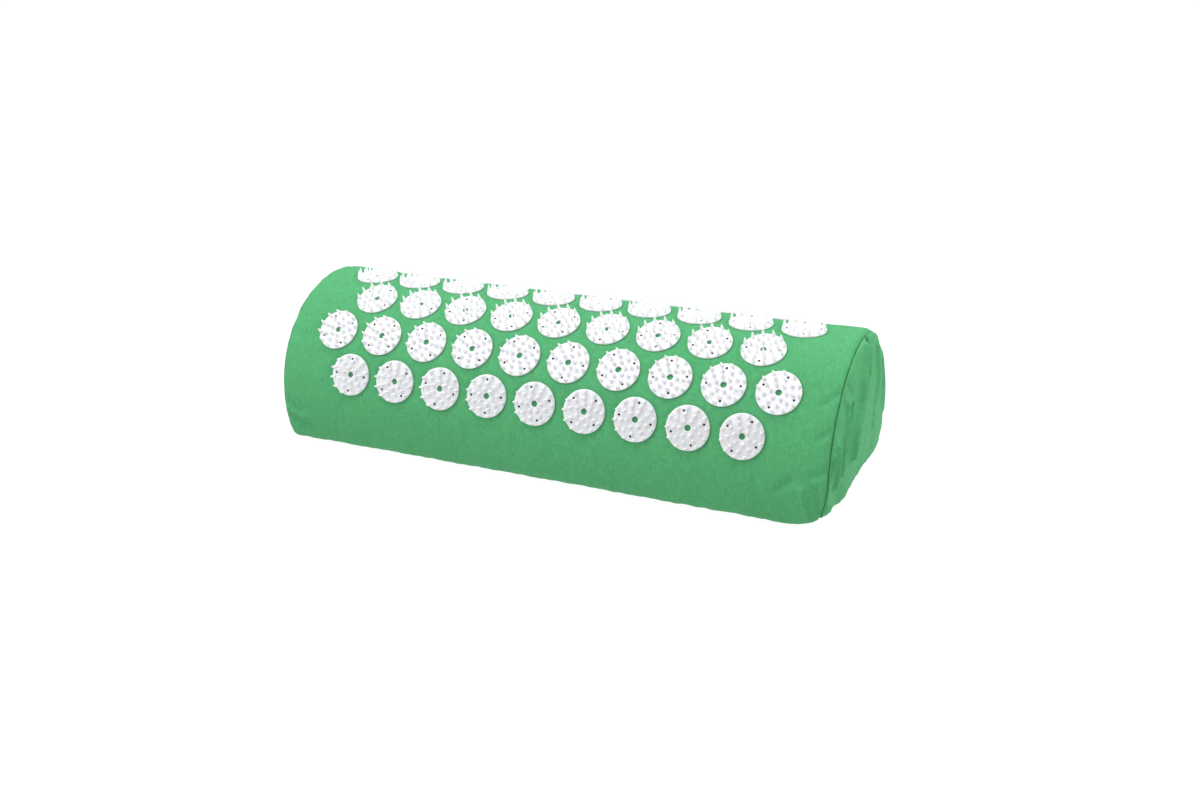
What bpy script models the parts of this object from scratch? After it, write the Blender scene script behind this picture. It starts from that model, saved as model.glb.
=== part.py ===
"""Acupressure bolster pillow: a D-section foam core in a sewn cotton cover, with rows of spiked discs.

Frame: origin at the middle of the base, +X along the bolster, -Y to the front, +Z up, in metres.
The curved face is an arc about an axis along X, and angles on it run from the crest towards the rear.
"""

import math
import random

import bmesh
import bpy
from mathutils import Matrix, Vector
from mathutils.geometry import delaunay_2d_cdt

MM = 0.001
GAP = 0.3 * MM

# Body: the D section is an arc cut off by the flat base, with rounded lower edges.
AXIS_HEIGHT = 33 * MM
DISC_SEAT_RADIUS = 74.5 * MM
COVER_RADIUS = DISC_SEAT_RADIUS - GAP
EDGE_ROUNDING = 8 * MM
COVER_THICKNESS = 0.8 * MM
HALF_SEAM_LENGTH = 200 * MM
END_CROWN = 5.5 * MM
ARC_STEP = math.radians(6)

# Discs: seven rows, staggered by half a pitch.
DISC_PITCH = 36 * MM
ROW_STEP = math.radians(23.4)
DISC_RADIUS = 14.7 * MM
DISC_PLATE = 1.5 * MM
DISC_HOLE_RADIUS = 2.1 * MM
SPIKE_HEIGHT = 5 * MM
VISIBLE_ROWS = (
    ("disc_front_low", -3, 9),
    ("disc_front_mid", -2, 10),
    ("disc_front_high", -1, 9),
    ("disc_crest", 0, 10),
)
REAR_ROWS = (
    ("discs_rear_high", 1, 9),
    ("discs_rear_mid", 2, 10),
    ("discs_rear_low", 3, 9),
)
# Rings of the spiked face, from the hole outwards: radius, points, first angle, height over the plate.
FACE_RINGS = (
    (DISC_HOLE_RADIUS, 6, 30, 0),
    (5.0 * MM, 6, 0, SPIKE_HEIGHT),
    (5.0 * MM, 6, 30, 0),
    (7.1 * MM, 9, 0, 0),
    (9.0 * MM, 9, 0, SPIKE_HEIGHT),
    (9.4 * MM, 9, 20, 0),
    (11.3 * MM, 12, 0, 0),
    (13.8 * MM, 12, 0, SPIKE_HEIGHT),
    (DISC_RADIUS, 12, 15, 0),
)
ROW_STRIP_OFFSET = 9 * MM
ROW_STRIP_WIDTH = 2 * MM
TURN_SEED = 11

# Zip, low on the rear face. Its own directions: x along it, y across it, z out of the cover.
ZIP_ANGLE = math.radians(99)
ZIP_HALF_OPENING = 5.5 * MM
ROW_SPLIT = 0.55 * MM
TAPE_EDGE = 5.2 * MM
TAPE_TOP = -0.3 * MM
TAPE_THICKNESS = 0.6 * MM
COIL_EDGE = 2.8 * MM
COIL_HEIGHT = 2.2 * MM
COIL_HALF_LENGTH = 176.5 * MM
STOP_LENGTH = 3 * MM
STOP_WIDTH = 6.4 * MM
STOP_HEIGHT = 2.6 * MM
SLIDER_LENGTH = 11 * MM
SLIDER_WIDTH = 8.6 * MM
SLIDER_PLATE = 1 * MM
SLIDER_TOP = 3.6 * MM
SLIDER_BOTTOM = -2.6 * MM
SLIDER_FLANGE = 1 * MM
SLIDER_POST = 0.4 * MM
SLIDER_REST_X = 170 * MM
ARCH_LENGTH = 6.8 * MM
ARCH_WIDTH = 1.6 * MM
ARCH_LEG = 0.9 * MM
ARCH_OPENING = 1.9 * MM
PULL_AXIS_HEIGHT = 4.55 * MM
PULL_THICKNESS = 1.1 * MM
PULL_LENGTH = 26 * MM
PULL_WIDTH = 6 * MM
PULL_EYE_LENGTH = 3.8 * MM
PULL_EYE_WIDTH = 2.6 * MM
GROOVE_DEPTH = 3.2 * MM
GROOVE_HALF_WIDTH = 5.2 * MM
GROOVE_HALF_LENGTH = 187 * MM

MATERIALS = {
    "cover_cotton": ((0.035, 0.36, 0.105), 0.85, 0.0),
    "foam": ((0.86, 0.83, 0.72), 0.95, 0.0),
    "disc_plastic": ((0.86, 0.87, 0.87), 0.32, 0.0),
    "zip_tape": ((0.03, 0.30, 0.09), 0.85, 0.0),
    "zip_coil": ((0.035, 0.33, 0.10), 0.45, 0.0),
    "zip_metal": ((0.62, 0.62, 0.60), 0.30, 1.0),
}


def clear_scene():
    for obj in list(bpy.data.objects):
        bpy.data.objects.remove(obj, do_unlink=True)


def make_collection(name):
    collection = bpy.data.collections.new(name)
    bpy.context.scene.collection.children.link(collection)
    return collection


def make_material(name):
    color, roughness, metallic = MATERIALS[name]
    material = bpy.data.materials.new(name)
    material.use_nodes = True
    shader = material.node_tree.nodes["Principled BSDF"]
    shader.inputs["Base Color"].default_value = (*color, 1)
    shader.inputs["Roughness"].default_value = roughness
    shader.inputs["Metallic"].default_value = metallic
    return material


def add_object(name, mesh, collection, material=None):
    obj = bpy.data.objects.new(name, mesh)
    collection.objects.link(obj)
    if material and not mesh.materials:
        mesh.materials.append(material)
    return obj


def mesh_from(bm, name):
    bmesh.ops.recalc_face_normals(bm, faces=bm.faces)
    mesh = bpy.data.meshes.new(name)
    bm.to_mesh(mesh)
    bm.free()
    return mesh


def add_box(bm, low, high):
    """A box between two corners, added to bm."""
    low, high = Vector(low), Vector(high)
    place = Matrix.Translation((low + high) / 2) @ Matrix.Diagonal((*(high - low), 1))
    bmesh.ops.create_cube(bm, size=1, matrix=place)


def box_mesh(name, low, high):
    bm = bmesh.new()
    add_box(bm, low, high)
    return mesh_from(bm, name)


def add_boolean(obj, other, operation):
    other.hide_render = True
    other.display_type = "WIRE"
    modifier = obj.modifiers.new(operation.title(), "BOOLEAN")
    modifier.operation = operation
    modifier.solver = "EXACT"
    modifier.object = other


def arc_frame(x, angle, radius):
    """A place on the curved face whose z points out of it and whose y points up and over the crest."""
    centre = Vector((x, 0, AXIS_HEIGHT))
    out = Vector((0, math.sin(angle), math.cos(angle)))
    return Matrix.Translation(centre + radius * out) @ Matrix.Rotation(-angle, 4, "X")


def rounding_centre():
    """Centre (y, z) of the rear lower rounding, which touches both the arc and the base."""
    reach = COVER_RADIUS - EDGE_ROUNDING
    across = math.sqrt(reach**2 - (AXIS_HEIGHT - EDGE_ROUNDING) ** 2)
    return across, EDGE_ROUNDING


def section_half(inset):
    """Points of the rear half section from the crest to the base, inset from the cover's outside."""
    across, height = rounding_centre()
    tangent = math.pi / 2 + math.atan2(AXIS_HEIGHT - height, across)
    points = []
    steps = math.ceil(tangent / ARC_STEP)
    for i in range(steps + 1):
        angle = tangent * i / steps
        radius = COVER_RADIUS - inset
        points.append((radius * math.sin(angle), AXIS_HEIGHT + radius * math.cos(angle)))
    turns = 3
    for i in range(1, turns + 1):
        angle = tangent + (math.pi - tangent) * i / turns
        radius = EDGE_ROUNDING - inset
        points.append((across + radius * math.sin(angle), height + radius * math.cos(angle)))
    return points


def section_outline(inset):
    """The closed D outline as (y, z), from the front base edge over the crest to the rear one."""
    rear = section_half(inset)
    front = [(-y, z) for y, z in reversed(rear[1:])]
    return front + rear


def strip_mesh(name, points):
    """An open strip along X over a line of (y, z) points."""
    bm = bmesh.new()
    verts = [bm.verts.new((-HALF_SEAM_LENGTH, y, z)) for y, z in points]
    edges = [bm.edges.new(pair) for pair in zip(verts, verts[1:])]
    grown = bmesh.ops.extrude_edge_only(bm, edges=edges)["geom"]
    moved = [v for v in grown if isinstance(v, bmesh.types.BMVert)]
    bmesh.ops.translate(bm, verts=moved, vec=(2 * HALF_SEAM_LENGTH, 0, 0))
    return mesh_from(bm, name)


def add_cover_strip(name, points, parts, material):
    """A cover panel whose outside follows points, with its thickness inwards."""
    obj = add_object(name, strip_mesh(name, points), parts, material)
    axis = Vector((0, 0, AXIS_HEIGHT))
    face = obj.data.polygons[0]
    outward = face.normal.dot(face.center - axis) > 0
    solidify = obj.modifiers.new("Thickness", "SOLIDIFY")
    solidify.thickness = COVER_THICKNESS
    solidify.offset = -1 if outward else 1
    solidify.use_even_offset = True
    return obj


def arc_point(angle):
    return COVER_RADIUS * math.sin(angle), AXIS_HEIGHT + COVER_RADIUS * math.cos(angle)


def add_cover(parts, material):
    """The sewn cover: curved panel, rear strip under the zip, base panel and two end panels."""
    outline = section_outline(0)
    half_gap = math.asin(ZIP_HALF_OPENING / COVER_RADIUS)
    above, below = arc_point(ZIP_ANGLE - half_gap), arc_point(ZIP_ANGLE + half_gap)
    curved = [p for p in outline if p[0] < 0 or p[1] > above[1] + MM]
    add_cover_strip("cover_curved_panel", curved + [above], parts, material)
    strip = [p for p in outline if p[0] > 0 and p[1] < below[1] - MM]
    add_cover_strip("cover_rear_strip", [below] + strip, parts, material)
    base_half = rounding_centre()[0] - GAP
    low = (-HALF_SEAM_LENGTH, -base_half, 0)
    high = (HALF_SEAM_LENGTH, base_half, COVER_THICKNESS)
    add_object("cover_base_panel", box_mesh("cover_base_panel", low, high), parts, material)
    for name, side in (("cover_end_left", -1), ("cover_end_right", 1)):
        add_end_panel(name, side, parts, material)


def grow_crown(bm, face, side):
    """Grow an end face outwards in shrinking steps, so that it swells like a stuffed panel."""
    last_scale, last_rise = 1.0, 0.0
    centre = Vector((0, 0, AXIS_HEIGHT + 5 * MM))
    for scale in (0.86, 0.62, 0.3):
        grown = bmesh.ops.extrude_face_region(bm, geom=[face])["geom"]
        bmesh.ops.delete(bm, geom=[face], context="FACES_ONLY")
        verts = [v for v in grown if isinstance(v, bmesh.types.BMVert)]
        face = next(f for f in grown if isinstance(f, bmesh.types.BMFace))
        rise = END_CROWN * math.sqrt(1 - scale**2)
        at_centre = Matrix.Translation(centre)
        shrink = Matrix.Diagonal((1, scale / last_scale, scale / last_scale, 1))
        bmesh.ops.transform(bm, matrix=at_centre @ shrink @ at_centre.inverted(), verts=verts)
        bmesh.ops.translate(bm, verts=verts, vec=(side * (rise - last_rise), 0, 0))
        last_scale, last_rise = scale, rise
    return face


def add_end_panel(name, side, parts, material):
    bm = bmesh.new()
    start = side * (HALF_SEAM_LENGTH + GAP)
    face = bm.faces.new([bm.verts.new((start, y, z)) for y, z in section_outline(0)])
    grow_crown(bm, face, side)
    obj = add_object(name, mesh_from(bm, name), parts, material)
    outward = sum(p.normal.x * p.area for p in obj.data.polygons) * side > 0
    solidify = obj.modifiers.new("Thickness", "SOLIDIFY")
    solidify.thickness = COVER_THICKNESS
    solidify.offset = 1 if outward else -1
    return obj


def add_foam_core(parts, cutters, material):
    """The foam block, with a shallow groove that leaves the zip slider its room."""
    bm = bmesh.new()
    inset = COVER_THICKNESS + GAP
    start = HALF_SEAM_LENGTH - GAP
    outline = section_outline(inset)
    face = bm.faces.new([bm.verts.new((-start, y, z)) for y, z in outline])
    grown = bmesh.ops.extrude_face_region(bm, geom=[face])["geom"]
    far_face = next(f for f in grown if isinstance(f, bmesh.types.BMFace))
    verts = [v for v in grown if isinstance(v, bmesh.types.BMVert)]
    bmesh.ops.translate(bm, verts=verts, vec=(2 * start, 0, 0))
    grow_crown(bm, face, -1)
    grow_crown(bm, far_face, 1)
    core = add_object("foam_core", mesh_from(bm, "foam_core"), parts, material)
    low = (-GROOVE_HALF_LENGTH, -GROOVE_HALF_WIDTH, -GROOVE_DEPTH)
    high = (GROOVE_HALF_LENGTH, GROOVE_HALF_WIDTH, GROOVE_DEPTH)
    groove = add_object("zip_groove", box_mesh("zip_groove", low, high), cutters)
    groove.matrix_world = arc_frame(0, ZIP_ANGLE, COVER_RADIUS)
    add_boolean(core, groove, "DIFFERENCE")


def ring_points(radius, count, first_deg):
    angles = [math.radians(first_deg) + math.tau * i / count for i in range(count)]
    return [Vector((radius * math.cos(a), radius * math.sin(a))) for a in angles]


def disc_mesh():
    """One spiked disc: z = 0 is its underside, and each spike is a pyramid among points of the plate."""
    flat, heights = [], []
    for radius, count, first_deg, height in FACE_RINGS:
        flat += ring_points(radius, count, first_deg)
        heights += [DISC_PLATE + height] * count
    faces = delaunay_2d_cdt(flat, [], [], 0, 1e-7)[2]
    bm = bmesh.new()
    verts = [bm.verts.new((p.x, p.y, z)) for p, z in zip(flat, heights)]
    for face in faces:
        middle = sum((flat[i] for i in face), Vector((0, 0))) / len(face)
        if middle.length > DISC_HOLE_RADIUS:
            bm.faces.new([verts[i] for i in face])
    close_underside(bm)
    return mesh_from(bm, "spiked_disc")


def close_underside(bm):
    """Walls down from the rim and the hole of a disc's upper face, and the flat ring under it."""
    edges = [e for e in bm.edges if e.is_boundary]
    grown = bmesh.ops.extrude_edge_only(bm, edges=edges)["geom"]
    for vert in grown:
        if isinstance(vert, bmesh.types.BMVert):
            vert.co.z = 0
    rings = [e for e in grown if isinstance(e, bmesh.types.BMEdge)]
    bmesh.ops.bridge_loops(bm, edges=rings)
    bmesh.ops.triangulate(bm, faces=bm.faces)


def disc_places(row, count, turns):
    """Where the discs of one row sit, each turned by chance about its own axis."""
    for i in range(count):
        x = (i - (count - 1) / 2) * DISC_PITCH
        place = arc_frame(x, row * ROW_STEP, DISC_SEAT_RADIUS)
        yield place @ Matrix.Rotation(turns.uniform(0, math.tau), 4, "Z")


def add_discs(parts, cutters, material):
    mesh = disc_mesh()
    turns = random.Random(TURN_SEED)
    for name, row, count in VISIBLE_ROWS:
        for i, place in enumerate(disc_places(row, count, turns), 1):
            disc = add_object(f"{name}_{i:02d}", mesh, parts, material)
            disc.matrix_world = place
    for name, row, count in REAR_ROWS:
        places = list(disc_places(row, count, turns))
        add_joined_row(name, mesh, places, row, parts, cutters, material)


def add_joined_row(name, mesh, places, row, parts, cutters, material):
    """A row of discs as one body, held together by a thin strip inside their plates."""
    bm = bmesh.new()
    for place in places:
        copy = mesh.copy()
        copy.transform(place)
        bm.from_mesh(copy)
        bpy.data.meshes.remove(copy)
    obj = add_object(name, mesh_from(bm, name), parts, material)
    half = (len(places) - 1) / 2 * DISC_PITCH
    low = (-half, ROW_STRIP_OFFSET - ROW_STRIP_WIDTH / 2, GAP)
    high = (half, ROW_STRIP_OFFSET + ROW_STRIP_WIDTH / 2, DISC_PLATE - GAP)
    strip = add_object(f"{name}_strip", box_mesh(f"{name}_strip", low, high), cutters)
    strip.matrix_world = arc_frame(0, row * ROW_STEP, DISC_SEAT_RADIUS)
    add_boolean(obj, strip, "UNION")


def add_zip_runs(parts, tape, coil):
    """The two tapes and the two coils, which run straight along the bolster."""
    frame = arc_frame(0, ZIP_ANGLE, COVER_RADIUS)
    tape_half = HALF_SEAM_LENGTH - GAP
    for name, side in (("upper", 1), ("lower", -1)):
        inner, outer = sorted((side * ROW_SPLIT, side * TAPE_EDGE))
        low = (-tape_half, inner, TAPE_TOP - TAPE_THICKNESS)
        high = (tape_half, outer, TAPE_TOP)
        strip = add_object(f"zip_tape_{name}", box_mesh("tape", low, high), parts, tape)
        strip.matrix_world = frame
        inner, outer = sorted((side * ROW_SPLIT, side * COIL_EDGE))
        low = (-COIL_HALF_LENGTH, inner, 0)
        high = (COIL_HALF_LENGTH, outer, COIL_HEIGHT)
        run = add_object(f"zip_coil_{name}", box_mesh("coil", low, high), parts, coil)
        run.matrix_world = frame


def add_zip_stops(parts, metal):
    for name, side in (("left", -1), ("right", 1)):
        near = side * (COIL_HALF_LENGTH + 1 * MM)
        start, end = sorted((near, near + side * STOP_LENGTH))
        low = (start, -STOP_WIDTH / 2, 0)
        high = (end, STOP_WIDTH / 2, STOP_HEIGHT)
        stop = add_object(f"zip_stop_{name}", box_mesh("stop", low, high), parts, metal)
        stop.matrix_world = arc_frame(0, ZIP_ANGLE, COVER_RADIUS)


def add_zip_slider(parts, cutters, metal):
    """Two plates joined by a post that runs between the coils, with flanges and an arch for the pull."""
    half, width = SLIDER_LENGTH / 2, SLIDER_WIDTH / 2
    under_top = SLIDER_TOP - SLIDER_PLATE
    lap = 0.2 * MM
    body = box_mesh("zip_slider", (-half, -width, under_top), (half, width, SLIDER_TOP))
    slider = add_object("zip_slider", body, parts, metal)
    slider.matrix_world = arc_frame(SLIDER_REST_X, ZIP_ANGLE, COVER_RADIUS)
    over_bottom = SLIDER_BOTTOM + SLIDER_PLATE
    post = SLIDER_POST / 2
    inner = width - SLIDER_FLANGE
    arch = ARCH_LENGTH / 2
    opening = SLIDER_TOP + ARCH_OPENING
    side = ARCH_WIDTH / 2
    boxes = (
        ((-half, -width, SLIDER_BOTTOM), (half, width, over_bottom)),
        ((-half + MM, -post, over_bottom - lap), (half - MM, post, under_top + lap)),
        ((-half, inner, 0.2 * MM), (half, width, under_top + lap)),
        ((-half, -width, 0.2 * MM), (half, -inner, under_top + lap)),
        ((-arch, -side, SLIDER_TOP - lap), (-arch + ARCH_LEG, side, opening + lap)),
        ((arch - ARCH_LEG, -side, SLIDER_TOP - lap), (arch, side, opening + lap)),
        ((-arch, -side, opening), (arch, side, opening + ARCH_LEG)),
    )
    for i, (low, high) in enumerate(boxes):
        name = f"slider_block_{i}"
        block = add_object(name, box_mesh(name, low, high), cutters)
        block.matrix_world = slider.matrix_world
        add_boolean(slider, block, "UNION")


def add_zip_pull(parts, cutters, metal):
    """The pull tab lies along the coil. Its origin is on its hinge axis, under the slider's arch."""
    half_thick = PULL_THICKNESS / 2
    low = (-PULL_LENGTH, -PULL_WIDTH / 2, -half_thick)
    high = (half_thick, PULL_WIDTH / 2, half_thick)
    pull = add_object("zip_pull", box_mesh("zip_pull", low, high), parts, metal)
    lifted = COVER_RADIUS + PULL_AXIS_HEIGHT
    pull.matrix_world = arc_frame(SLIDER_REST_X, ZIP_ANGLE, lifted)
    low = (-half_thick - PULL_EYE_LENGTH, -PULL_EYE_WIDTH / 2, -PULL_THICKNESS)
    high = (-half_thick, PULL_EYE_WIDTH / 2, PULL_THICKNESS)
    eye = add_object("pull_eye", box_mesh("pull_eye", low, high), cutters)
    eye.matrix_world = pull.matrix_world
    add_boolean(pull, eye, "DIFFERENCE")


def main():
    clear_scene()
    parts = make_collection("acupressure_bolster")
    cutters = make_collection("cutters")
    materials = {name: make_material(name) for name in MATERIALS}
    add_foam_core(parts, cutters, materials["foam"])
    add_cover(parts, materials["cover_cotton"])
    add_discs(parts, cutters, materials["disc_plastic"])
    add_zip_runs(parts, materials["zip_tape"], materials["zip_coil"])
    add_zip_stops(parts, materials["zip_metal"])
    add_zip_slider(parts, cutters, materials["zip_metal"])
    add_zip_pull(parts, cutters, materials["zip_metal"])


main()
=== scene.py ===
"""Looks of the acupressure bolster: sewn cotton cover, spiked discs, foam core, zip, camera and light."""

import math
import random

import bmesh
import bpy
import numpy as np
from mathutils import Matrix, Vector
from mathutils.bvhtree import BVHTree
from mathutils.kdtree import KDTree
from mathutils.noise import noise


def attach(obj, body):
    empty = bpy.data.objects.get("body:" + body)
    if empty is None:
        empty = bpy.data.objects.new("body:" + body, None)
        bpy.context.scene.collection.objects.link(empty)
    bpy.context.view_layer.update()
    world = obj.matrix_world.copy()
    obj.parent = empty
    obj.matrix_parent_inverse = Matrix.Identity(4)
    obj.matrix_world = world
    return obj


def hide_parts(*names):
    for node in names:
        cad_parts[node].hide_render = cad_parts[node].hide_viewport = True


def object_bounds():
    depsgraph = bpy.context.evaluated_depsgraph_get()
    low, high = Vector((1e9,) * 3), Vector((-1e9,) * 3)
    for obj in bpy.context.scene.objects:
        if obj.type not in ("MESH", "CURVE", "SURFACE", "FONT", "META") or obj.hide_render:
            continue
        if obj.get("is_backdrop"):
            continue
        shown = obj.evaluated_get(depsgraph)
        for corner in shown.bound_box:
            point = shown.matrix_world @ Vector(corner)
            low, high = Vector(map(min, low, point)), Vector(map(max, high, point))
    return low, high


MM = 0.001

# The CAD's driving sizes, which the fabric and the discs repeat.
AXIS_HEIGHT = 33 * MM
DISC_SEAT_RADIUS = 74.5 * MM
CAD_COVER_RADIUS = 74.2 * MM
DISC_PITCH = 36 * MM
ROW_STEP = math.radians(23.4)
DISC_RADIUS = 14.7 * MM
DISC_PLATE = 1.5 * MM
PIN_CIRCLE = 11.3 * MM
PIN_RADIUS = 0.8 * MM
PIN_DEPTH = 1.1 * MM
TURN_SEED = 11
HOLE_RADIUS = 2.1 * MM
PLATE_STEPS = 72
PLATE_BEVEL = 0.5 * MM
PIN_START_DEGREES = 15
# Rings of spikes: radius in mm and count. One spike, from foot to point: radius and height in mm.
SPIKE_RINGS = ((13.35, 12), (9.2, 9), (5.0, 6))
SPIKE_STEPS = 10
SPIKE_PROFILE = (
    (1.36, -0.3),
    (1.36, 0.0),
    (1.22, 0.5),
    (1.06, 1.4),
    (0.84, 2.6),
    (0.54, 3.9),
    (0.24, 4.9),
    (0.0, 5.2),
)
ZIP_ANGLE = math.radians(99)
SLIDER_REST_X = 170 * MM
PULL_AXIS_HEIGHT = 4.55 * MM
DISC_ROWS = (
    ("disc_front_low", -3, 9),
    ("disc_front_mid", -2, 10),
    ("disc_front_high", -1, 9),
    ("disc_crest", 0, 10),
    ("discs_rear_high", 1, 9),
    ("discs_rear_mid", 2, 10),
    ("discs_rear_low", 3, 9),
)

# Fabric: the cover swells a little past the CAD shell where no disc holds it.
SEAM_LEFT = -200.5 * MM
SEAM_RIGHT = 200.5 * MM
COVER_RADIUS = 76 * MM
FIELD_RADIUS = 75.3 * MM
ZIP_VALLEY_RADIUS = 74.7 * MM
EDGE_ROUNDING = 8 * MM
ZIP_HALF_OPENING = 5.5 * MM
SEAT_DEPTH = 0.12 * MM
PRESS_REACH = 21 * MM
PRESS_FADE = (0.3 * MM, 4.8 * MM)
FIELD_INSET = (8 * MM, 28 * MM)
FIELD_EDGE = (math.radians(78), math.radians(88))
VALLEY_EDGE = (math.radians(4.5), math.radians(13))
CREASE_EDGE = (math.radians(82), math.radians(92))
BASE_SEAM_ANGLE = math.radians(173)
GROOVE_DEPTH = 1.9 * MM
GROOVE_WIDTH = 0.85 * MM
SHOULDER = 0.5 * MM
PATCH_CORNER = math.radians(46)
GRID = 3 * MM
TOP_STEPS = 40
REAR_STEPS = 21
ZIP_STEPS = 4
ROUND_STEPS = 4

# By end (-1 left, 1 right): how far its foot curls up (whole end, front corner, and the reach along x),
# how far the front corner is drawn in and slides in, the base seam's climb, the end's swell and its turn.
LIFTS = {-1: (0.3 * MM, 0.3 * MM, 5 * MM), 1: (5 * MM, 1.5 * MM, 12 * MM)}
REAR_LIFT_LOSS = 0.8
CORNER_DRAW = {-1: 0.2 * MM, 1: 1.5 * MM}
CORNER_SLIDE = {-1: 0.0, 1: 6.5 * MM}
BASE_SEAM_CLIMB = {-1: math.radians(10), 1: math.radians(50)}
END_SWELL = {-1: (1.0 * MM, 8 * MM), 1: (2.2 * MM, 2.8 * MM)}

# Folds of the end panels, by end: points (y, z) of each in mm, then its half width and height in mm.
END_FOLDS = {
    -1: (
        (((4, 105), (10, 89), (8, 67), (16, 41)), 3.2, -2.6),
        (((-4, 103), (-14, 85), (-20, 61), (-24, 37)), 4.2, 2.6),
        (((22, 97), (34, 75), (38, 51), (44, 31)), 4.0, 2.4),
        (((-20, 97), (-36, 79), (-42, 57), (-44, 35)), 2.8, -2.0),
        (((-40, 89), (-54, 67), (-58, 43)), 3.2, 1.8),
        (((46, 83), (58, 61), (60, 39)), 2.8, -1.6),
    ),
    1: (
        (((3, 106), (9, 93), (9, 79), (0, 69), (-8, 58), (-16, 48), (-22, 35)), 1.8, -4.8),
        (((24, 95), (31, 73), (28, 56), (20, 39)), 3.0, 2.6),
        (((40, 69), (31, 56), (21, 46)), 2.2, -1.4),
        (((-6, 105), (-11, 95), (-19, 86), (-23, 73), (-34, 59), (-38, 41)), 2.6, 4.2),
        (((-47, 95), (-38, 85)), 1.8, -1.4),
        (((-47, 81), (-50, 67), (-56, 53), (-58, 37)), 2.0, 3.4),
        (((-35, 75), (-41, 63), (-46, 51), (-50, 37)), 1.6, -3.4),
        (((-65, 59), (-66, 47), (-61, 29)), 1.8, 3.0),
        (((-71, 51), (-72, 38)), 1.6, -2.4),
        (((30, 95), (50, 77), (60, 53), (62, 35)), 3.2, 1.4),
        (((44, 85), (54, 63), (52, 41)), 2.2, -1.0),
        (((-66, 16), (-56, 9), (-44, 6)), 7.0, 3.2),
    ),
}

# Creases of the wrapped fabric: x in mm and angle in degrees of both ends, half width and height in mm.
CREASES = (
    (185, -91, 190, -108, 1.9, 2.7),
    (178, -87, 170, -93, 3.1, -2.0),
    (194, -90, 196, -103, 1.6, -1.6),
    (199, -44, 191, -50, 2.0, -1.4),
    (199, -62, 192, -66, 2.2, -1.3),
    (199, -82, 190, -84, 2.3, -1.6),
    (-199, -89, -186, -95, 1.8, -1.0),
    (-197, -94, -183, -99, 1.8, 1.6),
    (-196, -99, -177, -105, 2.0, -1.4),
    (-195, -106, -176, -109, 2.0, 1.4),
)

# How the stuffing fills the cloth in simulation: pressure, frames, slack and the most that a point moves.
CLOTH_PRESSURE = 3.5
CLOTH_FRAMES = 20
CLOTH_SLACK = 0.02
WRAP_SWELL = 1.2 * MM
END_PANEL_SWELL = {-1: 0.9 * MM, 1: 2.2 * MM}

# Zip, in millimetres across the opening (v) and out of the cover (w).
ZIP_SIDES = (("upper", -1), ("lower", 1))
ZIP_HALF_LENGTH = 200.4
TAPE_SPAN = (0.15, 8.0)
TAPE_LAYER = (-0.9, -0.35)
COIL_HALF_LENGTH = 176.2
COIL_PITCH = 1.6
COIL_REACH = (0.52, 2.5)
COIL_LAYER = (0.32, 1.85)
COIL_WIRE = 0.28
STOP_PLACE = 179
HEM = ((0.35, -0.25), (0.25, -0.75), (-1.2, -0.8))
TOPSTITCH_SPAN = 7.6 * MM
SEAM_STITCH = (3 * MM, 2.1 * MM, 0.28 * MM)
TOPSTITCH = (3.2 * MM, 2.5 * MM, 0.22 * MM)
# Share of a stitch's length, and its height over the cloth in thread radii.
STITCH_SHAPE = ((0, -0.9), (0.12, 0.2), (0.35, 0.7), (0.65, 0.7), (0.88, 0.2), (1, -0.9))

# The foam: its size against the cover's, and a channel behind the zip (depth, and where it fades out).
FOAM_SCALE = (0.962, 0.955, 0.955)
FOAM_CHANNEL = (2.2 * MM, 6 * MM, 10 * MM)

# Softboxes: name, place in metres, size in metres and power in watts.
SOFTBOXES = (
    ("key", (-0.35, -0.35, 1.5), 1.8, 29),
    ("fill", (-1.1, -1.1, 0.5), 0.8, 3),
    ("side", (1.25, 0.7, 0.8), 0.7, 14),
)
WORLD_STRENGTH = 0.6
FLOOR_GLOW = 0.95
COTTON_COLOR = (0.078, 0.345, 0.142)
TAPE_COLOR = (0.030, 0.190, 0.075)
COIL_COLOR = (0.035, 0.210, 0.085)
DISC_COLOR = (0.71, 0.715, 0.735)
# Painted shade: the pin holes' walls and floors are coloured near black for the shade inside them.
PIN_HOLE_SHADE_COLOR = (0.035, 0.025, 0.02)

CAMERA_PLACE = (0.3665, -0.7951, 0.3633 + AXIS_HEIGHT)
CAMERA_TARGET = (0.0128, 0.0081, -0.0003 + AXIS_HEIGHT)
CAMERA_LENS = 39.66
SENSOR_WIDTH = 36
CAMERA_ROLL = math.radians(0.83)


def smooth(low, high, value):
    """0 below low, 1 above high, and a smooth step between them; value may be an array."""
    share = np.clip((value - low) / (high - low), 0, 1)
    return share * share * (3 - 2 * share)


def running_length(steps):
    """Distance from the start at each point of a line, from the lengths of its steps."""
    return np.concatenate([[0], np.cumsum(steps)])


# ---- objects and meshes ----


def add_object(name, data):
    obj = bpy.data.objects.new(name, data)
    bpy.context.scene.collection.objects.link(obj)
    return obj


def take_mesh(name, bm):
    """A new mesh from a bmesh, which is freed."""
    mesh = bpy.data.meshes.new(name)
    bm.to_mesh(mesh)
    bm.free()
    return mesh


def circle(x, y, radius, steps=20):
    angles = [math.tau * k / steps for k in range(steps)]
    return [(x + radius * math.cos(a), y + radius * math.sin(a)) for a in angles]


def level_ring(bm, centre, radius, height, steps):
    return [bm.verts.new((*point, height)) for point in circle(*centre, radius, steps)]


def skin_rings(bm, rings):
    """Quads between each ring of vertices and the next one."""
    for low, high in zip(rings, rings[1:]):
        for k in range(len(low)):
            n = (k + 1) % len(low)
            bm.faces.new((low[k], low[n], high[n], high[k]))


# ---- materials ----


def new_material(name):
    material = bpy.data.materials.new(name)
    material.use_nodes = True
    tree = material.node_tree
    return material, tree, tree.nodes["Principled BSDF"]


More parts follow.
